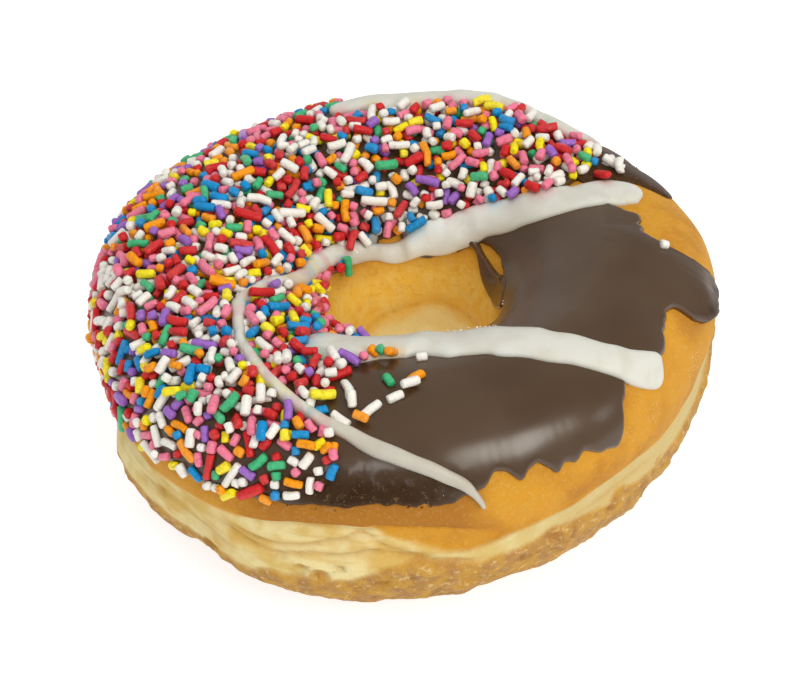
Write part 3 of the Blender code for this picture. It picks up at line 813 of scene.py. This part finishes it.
# The rods' dye bled into the icing, and on the long line painted light brightens it behind the hole.
stain = graph.attribute("stain", 0)
colour = graph.node(
    "Mix", {"data_type": "RGBA", "blend_type": "MULTIPLY"}, {0: 1.0, 6: colour, 7: stain}, 2)
connect(colour, shader["Base Color"])
connect(0.38 + 0.16 * fine, shader["Roughness"])
connect(graph.bump(0.8 * haze + 0.2 * fine, 0.12), shader["Normal"])
shader["Subsurface Weight"].default_value = 0.15
shader["Subsurface Radius"].default_value = (1.0, 0.9, 0.8)
shader["Subsurface Scale"].default_value = 0.8 * MM

drizzle_strips = {}
for number, (name, line) in enumerate(DRIZZLE_LINES.items()):
    direction, place, width = smooth_line(line, 12 * len(line)).T
    height = DRIZZLE_HEIGHT + np.interp(direction, *zip(*DRIZZLE_RAISED[name])) * MM
    drizzle_strips[name] = ribbon(
        np.radians(direction), np.radians(place), width / 2 * MM, height, DRIZZLE_BED, 70 + 10 * number)

# The sugar sprinkles
# Blunt little rods of coloured sugar, 1.2 to 1.6 mm thick and up to 5 mm long, strewn thickly over the
# left and the back of the wet icing. They stuck where they fell, one or two deep, and their dye bled.

SPRINKLE_DIRECTIONS = (30, 262)
SPRINKLE_PLACES = (-62, 90)
# How far round the front the sprinkles reach: place on the section, and the last direction there.
SPRINKLE_FRONT = (
    (-60, 248), (-50, 248), (-10, 250), (5, 254), (20, 252), (34, 254), (46, 258), (55, 257),
    (61, 252), (70, 247), (95, 240),
)
# Above the long line of drizzle they keep behind it: direction, and the line's place.
BEHIND_DRIZZLE = ((16, 26), (20, 12), (25, -6), (30, -16), (35, -24), (42, -32), (52, -38), (65, -42),
                  (78, -48), (94, -50), (106, -49), (114, -52), (118, -70))
# On the back rim they lie before that line and beyond it, but not close behind it.
BEFORE_DRIZZLE = (
    (30, 24), (38, 24), (50, 22), (62, 26), (70, 27), (80, 24), (95, 22), (104, 25), (107, 90),
)
BEYOND_DRIZZLE = 56
# Beyond this place, on the steep outer side and at the back, the sprinkles lie flush.
FLUSH_PLACE = ((90, 46), (98, 16), (160, 16), (172, 46))
COVER_STEPS = (900, 360)
COVER_PLACES = np.radians((-80, 100))
FLUSH_SHARE = 0.35
# Lengths are drawn about a mean, with a spread, and kept between limits; all in millimetres.
ROD_LENGTH = (2.35, 1.0)
ROD_LENGTH_LIMITS = (1.25, 4.8)
ROD_RADII = (0.60, 0.79)
STRAY_RADIUS = 0.70 * MM
# Each layer's attempts and rods, how high above the icing a rod may rest, and its steepest slope.
LAYERS = ((60000, 1500, 0.30 * MM, 0.22), (60000, 2200, 1.15 * MM, 0.7))
STRAY_LAYER = (3 * MM, 2)
# Beyond the layer's highest rest, a pile may stand this much higher where a rod's middle falls.
PILE_MARGIN = 0.2 * MM
# A rod sinks into wet icing, and less where it lies on other rods.
ROD_SINKS = (0.06 * MM, 0.3 * MM)
# The share of its radius with which a rod bears, and the fewest cells that can bear it.
BEARING_SHARE = 0.88
FEWEST_CELLS = 12
# Past this direction the sprinkles' first layer lies under the long line of drizzle.
UNDER_DRIZZLE = math.radians(122)
# Loose rods that show one by one: direction, place, heading, length in millimetres, and colour.
STRAY_SPRINKLES = (
    (256.5, 14, 60, 3.4, "white"), (258, 21.5, 75, 2.6, "white"), (265.5, 6.5, 60, 2.2, "green"),
    (272, 5.5, 140, 3.6, "orange"), (271, 11.5, 150, 3.0, "white"), (267.5, 17.5, 150, 2.6, "white"),
    (262.5, 24.5, 130, 3.6, "white"), (261, 30, 20, 2.4, "orange"), (256.5, 30.5, 30, 3.2, "white"),
    (251.5, 28, 140, 2.4, "blue"), (248.5, 0.5, 170, 3.0, "white"), (253.5, -4.5, 15, 3.6, "purple"),
    (257.5, -6, 80, 2.4, "pink"), (260, -11.5, 10, 1.9, "orange"), (262.5, -11, 0, 1.5, "green"),
    (265.5, -12, 110, 3.0, "orange"), (275, -10.5, 0, 1.7, "white"), (359, 28, 80, 1.35, "white"),
    (29, 14, 178, 3.6, "red"), (35, 28.5, 60, 3.4, "white"), (32.5, 26, 130, 3.8, "white"),
    (30.2, 25.5, 20, 2.6, "white"), (37.5, 23, 90, 2.6, "orange"),
)
# Each colour, its share of the rods, and how wrinkled they are.
SPRINKLE_COLOURS = {
    "white": ((0.87, 0.84, 0.77), 0.24, 0.055),
    "pink": ((0.88, 0.21, 0.32), 0.155, 0.10),
    "red": ((0.65, 0.018, 0.02), 0.165, 0.13),
    "orange": ((0.96, 0.33, 0.001), 0.098, 0.055),
    "yellow": ((0.97, 0.80, 0.005), 0.068, 0.055),
    "green": ((0.055, 0.48, 0.20), 0.06, 0.11),
    "blue": ((0.001, 0.27, 0.62), 0.085, 0.11),
    "purple": ((0.34, 0.14, 0.55), 0.05, 0.12),
}
DEEP_WHITE = (0.74, 0.71, 0.61)
dice = np.random.default_rng(21)

cover_direction = np.radians(np.arange(COVER_STEPS[0]) * 360 / COVER_STEPS[0])
cover_place = np.linspace(*COVER_PLACES, COVER_STEPS[1])
cover_grid = np.meshgrid(cover_direction, cover_place, indexing="ij")
cover_base = above_dough(*cover_grid, 0 * cover_grid[0])
cover_slopes = surface_slopes(*cover_grid)
cover_normal = unit(np.cross(cover_slopes[1], cover_slopes[0]))
cover_lift = icing_thickness(*cover_grid)
on_drizzle = np.zeros(COVER_STEPS, dtype=bool)


def cover_cells(direction, place):
    """The column and row of the cover's grid in which each direction and place falls."""
    column = np.round(np.degrees(direction) / (360 / COVER_STEPS[0])).astype(int) % COVER_STEPS[0]
    row = (place - COVER_PLACES[0]) / (COVER_PLACES[1] - COVER_PLACES[0]) * (COVER_STEPS[1] - 1)
    return column, np.clip(np.round(row).astype(int), 0, COVER_STEPS[1] - 1)


late_cells = []
for name, strip in drizzle_strips.items():
    strip_direction, strip_place, strip_lift = strip[:3]
    half = strip_place.shape[1] // 2
    arch = strip_lift[:, 1:half].max(axis=1)
    fine_rows = np.arange(0, len(arch) - 1, 0.4)
    for share in np.linspace(0.1, 0.9, 71):
        fine_direction, fine_place, fine_lift = (
            np.interp(fine_rows, np.arange(len(arch)), values)
            for values in (
                strip_direction[:, 0] + (strip_direction[:, half] - strip_direction[:, 0]) * share,
                strip_place[:, 0] + (strip_place[:, half] - strip_place[:, 0]) * share, arch)
        )
        late = (fine_direction > UNDER_DRIZZLE) & (name == "drizzle_turn")
        cells = np.array(cover_cells(fine_direction, fine_place))
        np.maximum.at(cover_lift, tuple(cells[:, ~late]), fine_lift[~late])
        on_drizzle[tuple(cells[:, ~late])] = True
        late_cells.append((cells[:, late], fine_lift[late]))


def resting_line(along, needed, length):
    """Height at the middle and slope of the lowest straight rod that clears the needed heights."""
    slots = 11
    slot_number = np.clip(((along / length + 0.5) * slots).astype(int), 0, slots - 1)
    highest = np.full(slots, -1.0)
    np.maximum.at(highest, slot_number, needed)
    at = (np.arange(slots) + 0.5) / slots * length - length / 2
    low, high = at[:5, None], at[None, 6:]
    middle = (highest[:5, None] * high - highest[None, 6:] * low) / (high - low)
    best = np.unravel_index(np.argmax(middle), middle.shape)
    slope = (highest[6:][best[1]] - highest[best[0]]) / (at[6:][best[1]] - at[best[0]])
    return max(middle[best], highest[5]), slope


rods = []


def try_rod(direction, place, heading, length, radius, most_raised, steepest, colour=None):
    """Lays a rod on the cover if it lies low and flat enough there, and raises the cover under it."""
    column, row = (int(value) for value in cover_cells(np.array(direction), np.array(place)))
    if cover_lift[column, row] - cover_ground[column, row] > most_raised + PILE_MARGIN:
        return False
    base = cover_base[column, row]
    normal = cover_normal[column, row]
    round_ring, over_section = cover_slopes[0][column, row], cover_slopes[1][column, row]
    reach = length / 2 + radius
    columns = int(reach / np.linalg.norm(round_ring) / math.radians(360 / COVER_STEPS[0])) + 1
    place_step = (COVER_PLACES[1] - COVER_PLACES[0]) / (COVER_STEPS[1] - 1)
    rows = int(reach / np.linalg.norm(over_section) / place_step) + 1
    near_columns = (np.arange(column - columns, column + columns + 1) % COVER_STEPS[0])[:, None]
    near_rows = np.arange(max(row - rows, 0), min(row + rows + 1, COVER_STEPS[1]))[None, :]
    tops = cover_base[near_columns, near_rows] + (
        cover_normal[near_columns, near_rows] * cover_lift[near_columns, near_rows][..., None])
    axis = math.cos(heading) * unit(round_ring) + math.sin(heading) * unit(over_section)
    side = np.cross(normal, axis)
    away = tops - base
    along, across, up = away @ axis, away @ side, away @ normal
    under = (np.abs(along) < length / 2) & (np.abs(across) < BEARING_SHARE * radius)
    belly = radius - np.sqrt(np.maximum(radius ** 2 - across ** 2, 0))
    if np.count_nonzero(under) < FEWEST_CELLS:
        return False
    rest, slope = resting_line(along[under], (up - belly)[under], length)
    ground = cover_ground[column, row]
    if rest - ground > most_raised or abs(slope) > steepest:
        return False
    rest -= min(ROD_SINKS[1], max(ROD_SINKS[0], ROD_SINKS[1] - (rest - ground)))
    tilted = unit(axis + slope * normal)
    centre = base + normal * (rest + radius)
    shell = rest + slope * along + radius + np.sqrt(np.maximum(radius ** 2 - across ** 2, 0))
    raised = cover_lift[near_columns, near_rows] + np.where(under, np.maximum(shell - up, 0), 0)
    cover_lift[near_columns, near_rows] = raised
    rods.append((centre, tilted, unit(np.cross(side, tilted)) * -1, length, radius, colour))
    return True


rim = icing_edges(cover_direction)
degrees_round = np.degrees(cover_grid[0])
degrees_over = np.degrees(cover_grid[1])
behind = np.interp(degrees_round, *zip(*BEHIND_DRIZZLE), right=-90)
before = np.interp(degrees_round, *zip(*BEFORE_DRIZZLE), right=90)
is_sprinkled = degrees_round < np.interp(degrees_over, *zip(*SPRINKLE_FRONT))
is_sprinkled &= (degrees_round > SPRINKLE_DIRECTIONS[0]) & (degrees_over > behind)
is_sprinkled &= degrees_over > np.degrees(rim[1])[:, None] + 1.5
is_sprinkled &= degrees_over < np.degrees(rim[0])[:, None] + 0.5
is_sprinkled &= (degrees_over < before) | ((degrees_over > BEYOND_DRIZZLE) & (degrees_round > 55))
cover_ground = cover_lift.copy()
for direction, place, heading, length, colour in STRAY_SPRINKLES:
    spot = (math.radians(direction), math.radians(place), math.radians(heading))
    try_rod(*spot, length * MM, STRAY_RADIUS, *STRAY_LAYER, colour)
strays = len(rods)
for attempts, wanted, most_raised, steepest in LAYERS:
    for _ in range(attempts):
        direction = math.radians(dice.uniform(*SPRINKLE_DIRECTIONS))
        place = math.radians(dice.uniform(*SPRINKLE_PLACES))
        heading = dice.uniform(0, math.pi)
        length = np.clip(dice.normal(*ROD_LENGTH), *ROD_LENGTH_LIMITS) * MM
        radius = dice.uniform(*ROD_RADII) * MM
        row = cover_cells(np.array(direction), np.array(place))
        wide = np.linalg.norm(cover_slopes[0][row]) / RING_RADIUS
        if dice.random() > wide or not is_sprinkled[row] or on_drizzle[row]:
            continue
        is_flush = math.degrees(place) > np.interp(math.degrees(direction), *zip(*FLUSH_PLACE))
        highest_rest = most_raised * (FLUSH_SHARE if is_flush else 1)
        try_rod(direction, place, heading, length, radius, highest_rest, steepest)
        if len(rods) - strays >= wanted:
            break
    for cells, lifts in late_cells:
        np.maximum.at(cover_lift, tuple(cells), lifts)
        on_drizzle[tuple(cells)] = True

ROD_SIDES = 8
ROD_END_ANGLES = np.radians((22, 50, 90))
ROD_SQUARENESS = 3.4
ROD_BEND = 0.05
ROD_TAPER = 0.10


def repeated_faces(faces, corners, count):
    """The faces of one little shape with this many corners, for each of a number of such shapes."""
    return [tuple(corner + number * corners for corner in face)
            for number in range(count) for face in faces]


def rod_mesh(rods, wrinkle):
    """Rods as grids of rings: blunt superellipse ends, a slight bend, and wrinkled sides."""
    centre, axis, top, length, radius = (np.array([rod[k] for rod in rods]) for k in range(5))
    side = np.cross(axis, top)
    ends = np.concatenate([ROD_END_ANGLES, [math.pi / 2], math.pi - ROD_END_ANGLES[::-1]])
    blunt = 2 / ROD_SQUARENESS
    cap = np.abs(np.cos(ends)) ** blunt * np.sign(np.cos(ends))
    ring = np.sin(ends) ** blunt
    body = np.sign(cap) * (np.abs(cap) > 1e-6)
    body[len(ROD_END_ANGLES) - 1] = 1
    body[len(ROD_END_ANGLES) + 1] = -1
    count, rings = len(rods), len(ends)
    along = body * (length / 2 - 0.5 * radius)[:, None] + cap * 0.5 * radius[:, None]
    bend = dice.normal(0, ROD_BEND, count) * length
    around = np.arange(ROD_SIDES) / ROD_SIDES * 2 * math.pi
    rough = 1 + wrinkle * dice.uniform(-1, 1, (count, rings, ROD_SIDES))
    taper = 1 + dice.normal(0, ROD_TAPER, (count, 1)) * np.linspace(-1, 1, rings)
    width = radius[:, None, None] * (ring * taper)[..., None] * rough
    sag = bend[:, None] * (2 * along / length[:, None]) ** 2
    points = (
        centre[:, None, None] + axis[:, None, None] * along[..., None, None]
        + side[:, None, None] * (width * np.cos(around) + sag[..., None])[..., None]
        + top[:, None, None] * (width * np.sin(around))[..., None]
    )
    tips = np.stack([length / 2, -length / 2], axis=1)
    tip_sag = bend[:, None] + 0 * tips
    tips = centre[:, None] + axis[:, None] * tips[..., None] + side[:, None] * tip_sag[..., None]
    corners = rings * ROD_SIDES + 2
    points = np.concatenate([points.reshape(count, -1, 3), tips], axis=1)
    return points, repeated_faces(capped_faces(rings, ROD_SIDES), corners, count), corners


names = list(SPRINKLE_COLOURS)
sugars = {}
chances = np.array([SPRINKLE_COLOURS[name][1] for name in names])
drawn = dice.choice(names, len(rods), p=chances / chances.sum())
rod_colours = np.array([rod[5] or colour for rod, colour in zip(rods, drawn)])
for name, (tint, _, wrinkle) in SPRINKLE_COLOURS.items():
    sugar, graph, shader = new_material("sugar sprinkle " + name)
    mottle = graph.noise(0.5, 2, 0.6)
    glint = graph.noise(0.3, 1, 0.5, 0.6)
    pale_tint = tuple(0.93 * channel + 0.035 for channel in tint)
    deep_tint = tuple(0.5 * channel for channel in tint) if name != "white" else DEEP_WHITE
    own = graph.attribute("own")
    colour = (own ** 2).blend(tint, pale_tint)
    colour = (mottle.rising(0.45, 0.75) * 0.62).blend(colour, deep_tint)
    connect(colour, shader["Base Color"])
    connect(0.12 + 0.28 * mottle, shader["Roughness"])
    connect(graph.bump(mottle + 0.35 * glint, 0.2), shader["Normal"])
    shader["Specular IOR Level"].default_value = 0.3
    sugars[name] = sugar
    chosen = [rod for rod, colour_name in zip(rods, rod_colours) if colour_name == name]
    points, faces, corners = rod_mesh(chosen, wrinkle)
    own_shares = np.repeat(dice.random(len(chosen)), corners)
    make_piece("sprinkles_" + name, points, faces, sugar, {"own": own_shares})

rod_centres = np.array([rod[0] for rod in rods])
rod_axes = np.array([rod[1] for rod in rods])
rod_halves = np.array([rod[3] for rod in rods]) / 2
rod_tints = np.array([SPRINKLE_COLOURS[name][0] for name in rod_colours])
# How strongly the rods' dye stains the white icing, and how far from a rod's side.
STAIN_SHARE = 0.34
STAIN_REACH = 1.0 * MM
for name, strip in drizzle_strips.items():
    corners = np.concatenate([strip[3].reshape(-1, 3), strip[4]])
    away = corners[:, None] - rod_centres
    along = np.clip(np.sum(away * rod_axes, axis=-1), -rod_halves, rod_halves)
    gap = np.linalg.norm(away - along[..., None] * rod_axes, axis=-1)
    nearest = np.argmin(gap, axis=1)
    share = STAIN_SHARE * np.exp(-((gap.min(axis=1) - STRAY_RADIUS) / STAIN_REACH) ** 2)
    share = share * np.where(rod_colours[nearest] == "white", 0, 1)
    dye_and_painted_light = 1 - share[:, None] * (1 - rod_tints[nearest] ** 0.5)
    if name == "drizzle_turn":
        turns = np.degrees(np.append(strip[0].ravel(), strip[0][[0, -1], 0]))
        # Painted light brightens the long line behind the hole; in front the thin icing is browner.
        shade = np.interp(turns, *zip(*DRIZZLE_PAINTED_LIGHT_AND_THINNING))
        dye_and_painted_light = dye_and_painted_light * shade[:, None] ** SHADE_POWERS
    stains_and_painted_light = np.concatenate([dye_and_painted_light, np.ones((len(dye_and_painted_light), 1))], axis=1)
    make_ribbon(name, strip, white_icing, {"stain": stains_and_painted_light})

# The crumbs
# Grains of sugar along the front line's far edge and on the bare dough at the right, and dark flakes
# of icing that broke off its crumbly edge in front and off the tongue.

# Directions and places between which they lie, how many, and their radii in millimetres.
SUGAR_CRUMBS = (
    ((336, 343), (63, 74), 26, (0.04, 0.10)), ((314, 326), (60, 72), 36, (0.03, 0.09)),
    ((258, 280), (58, 64), 8, (0.04, 0.08)), ((341, 345), (-54, -51), 4, (0.12, 0.22)),
    ((296, 302), (62, 80), 12, (0.03, 0.08)),
)
ICING_CRUMBS = (
    ((270, 276), (65, 67), 6, (0.12, 0.24)), ((246, 258), (68.2, 69.6), 6, (0.10, 0.18)),
    ((252, 281), (55, 65), 80, (0.08, 0.20)), ((26, 36), (40, 50), 22, (0.12, 0.30)),
)
# On the front line: how many, between which directions, their radii and how far off they stray.
LINE_CRUMBS = 54
LINE_SPAN = (275, 306)
LINE_RADII = (0.12, 0.34)
LINE_STRAY = 0.12
CRUMB_SIDES = 5


def crumb_mesh(centres, radii):
    """Grains with five uneven corners round a ring and one at each end."""
    turns = np.arange(CRUMB_SIDES) / CRUMB_SIDES * 2 * math.pi
    ring = np.stack([np.cos(turns), np.sin(turns), 0 * turns], axis=-1)
    corners = np.concatenate([ring, [(0, 0, -0.8), (0, 0, 0.8)]])
    shapes = corners * dice.uniform(0.6, 1.25, (len(centres), len(corners), 1))
    points = centres[:, None] + shapes * radii[:, None, None]
    return points, repeated_faces(capped_faces(1, CRUMB_SIDES), len(corners), len(centres))


def strewn(spots):
    """Centres and radii of crumbs that lie on the icing or, where it ends, on the dough."""
    centres, radii = [], []
    for directions, places, count, sizes in spots:
        direction = np.radians(dice.uniform(*directions, count))
        place = np.radians(dice.uniform(*places, count))
        radius = dice.uniform(*sizes, count) * MM
        centres.append(above_dough(direction, place, icing_thickness(direction, place) + 0.4 * radius))
        radii.append(radius)
    return np.concatenate(centres), np.concatenate(radii)


centres, radii = strewn(SUGAR_CRUMBS)
line_directions, line_places, _, line_points = drizzle_strips["drizzle_front"][:4]
far_side = np.where(line_places[:, 1] < line_places[:, 9], 1, 9)
line_turns = np.degrees(line_directions[:, 0])
in_reach = np.flatnonzero((line_turns > LINE_SPAN[0]) & (line_turns < LINE_SPAN[1]))
rows = dice.choice(in_reach, LINE_CRUMBS)
steps = dice.integers(1, 4, LINE_CRUMBS)
sides = np.where(far_side[rows] == 1, steps, 10 - steps)
line_radii = dice.uniform(*LINE_RADII, LINE_CRUMBS) * MM
line_centres = line_points[rows, sides] + dice.normal(0, LINE_STRAY, (LINE_CRUMBS, 3)) * MM
centres = np.concatenate([centres, line_centres])
points, faces = crumb_mesh(centres, np.concatenate([radii, line_radii]))
own_shares = np.zeros(len(centres) * (CRUMB_SIDES + 2))
make_piece("sugar_crumbs", points, faces, sugars["white"], {"own": own_shares})
points, faces = crumb_mesh(*strewn(ICING_CRUMBS))
plain = np.zeros(points.shape[0] * points.shape[1])
make_piece(
    "icing_crumbs", points, faces, chocolate_icing,
    {"crumbly": plain + 0.3, "thin": plain + 1.0},
)

# The table and the lamps
# A plain pale table, soft light from all round and from above, a broad warm lamp to the front right,
# small ones at the side and in front and a faint one behind, whose sheens show on the icing, and the
# camera of the photograph, which looks down on the ring from in front.

FLOOR_SIZE = 6.0
LAMP_TARGET = np.array([0, 0, 0.016])
bpy.ops.mesh.primitive_plane_add(size=FLOOR_SIZE)
floor = bpy.context.object
floor.name = "floor"
paint, graph, shader = new_material("pale table")
shader["Base Color"].default_value = (0.4, 0.4, 0.4, 1)
shader["Roughness"].default_value = 0.9
shader["Specular IOR Level"].default_value = 0.0
shader["Emission Color"].default_value = (1.0, 1.0, 1.0, 1)
shader["Emission Strength"].default_value = 0.78
floor.data.materials.append(paint)

world = bpy.data.worlds.new("soft light")
world.use_nodes = True
world.node_tree.nodes["Background"].inputs["Color"].default_value = (1.0, 1.0, 1.0, 1)
world.node_tree.nodes["Background"].inputs["Strength"].default_value = 0.42
bpy.context.scene.world = world


def aim(thing, position, target):
    """Puts a lamp or camera at a position, with its -Z axis towards the target and no roll."""
    backward = unit(np.asarray(position, dtype=float) - target)
    right = unit(np.cross((0, 0, 1), backward))
    turn = np.stack([right, np.cross(backward, right), backward], axis=1)
    thing.matrix_world = Matrix.Translation(position) @ Matrix(turn.tolist()).to_4x4()


def add_lamp(name, kind, position, **settings):
    lamp = bpy.data.objects.new(name, bpy.data.lights.new(name, kind))
    bpy.context.scene.collection.objects.link(lamp)
    for label, value in settings.items():
        setattr(lamp.data, label, value)
    aim(lamp, position, LAMP_TARGET)


add_lamp("sky_lamp", "SUN", (0.06, 0.0, 1.0), energy=1.25, angle=math.radians(70))
bpy.data.objects["sky_lamp"].visible_glossy = False
add_lamp("front_right_lamp", "AREA", (0.52, -0.57, 0.64), energy=3.5, shape="DISK", size=0.44,
         color=(1.0, 0.97, 0.88))
add_lamp("side_lamp", "AREA", (0.89, -0.19, 0.41), energy=0.25, shape="DISK", size=0.2)
add_lamp("front_lamp", "AREA", (-0.15, -0.74, 0.66), energy=0.85, shape="DISK", size=0.26)
add_lamp("back_lamp", "AREA", (-0.20, 0.84, 0.50), energy=0.33, shape="DISK", size=0.8,
         color=(1.0, 0.95, 0.84))

RING_POINT = RING_CENTRE + np.array([0, 0, 16.5 * MM])
CAMERA_ELEVATION = math.radians(42.7)
CAMERA_DISTANCE = 0.520
VIEW_SHIFT = (-0.84 * MM, -2.16 * MM)
camera = bpy.data.objects.new("camera", bpy.data.cameras.new("camera"))
bpy.context.scene.collection.objects.link(camera)
forward = np.array([0, math.cos(CAMERA_ELEVATION), -math.sin(CAMERA_ELEVATION)])
upward = np.array([0, math.sin(CAMERA_ELEVATION), math.cos(CAMERA_ELEVATION)])
view_point = RING_POINT + np.array([VIEW_SHIFT[0], 0, 0]) + upward * VIEW_SHIFT[1]
camera.data.lens = 150.9
camera.data.sensor_width = 36.0
camera.data.clip_end = 20.0
aim(camera, view_point - forward * CAMERA_DISTANCE, view_point)
bpy.context.scene.camera = camera
bpy.context.scene.view_settings.view_transform = "Standard"
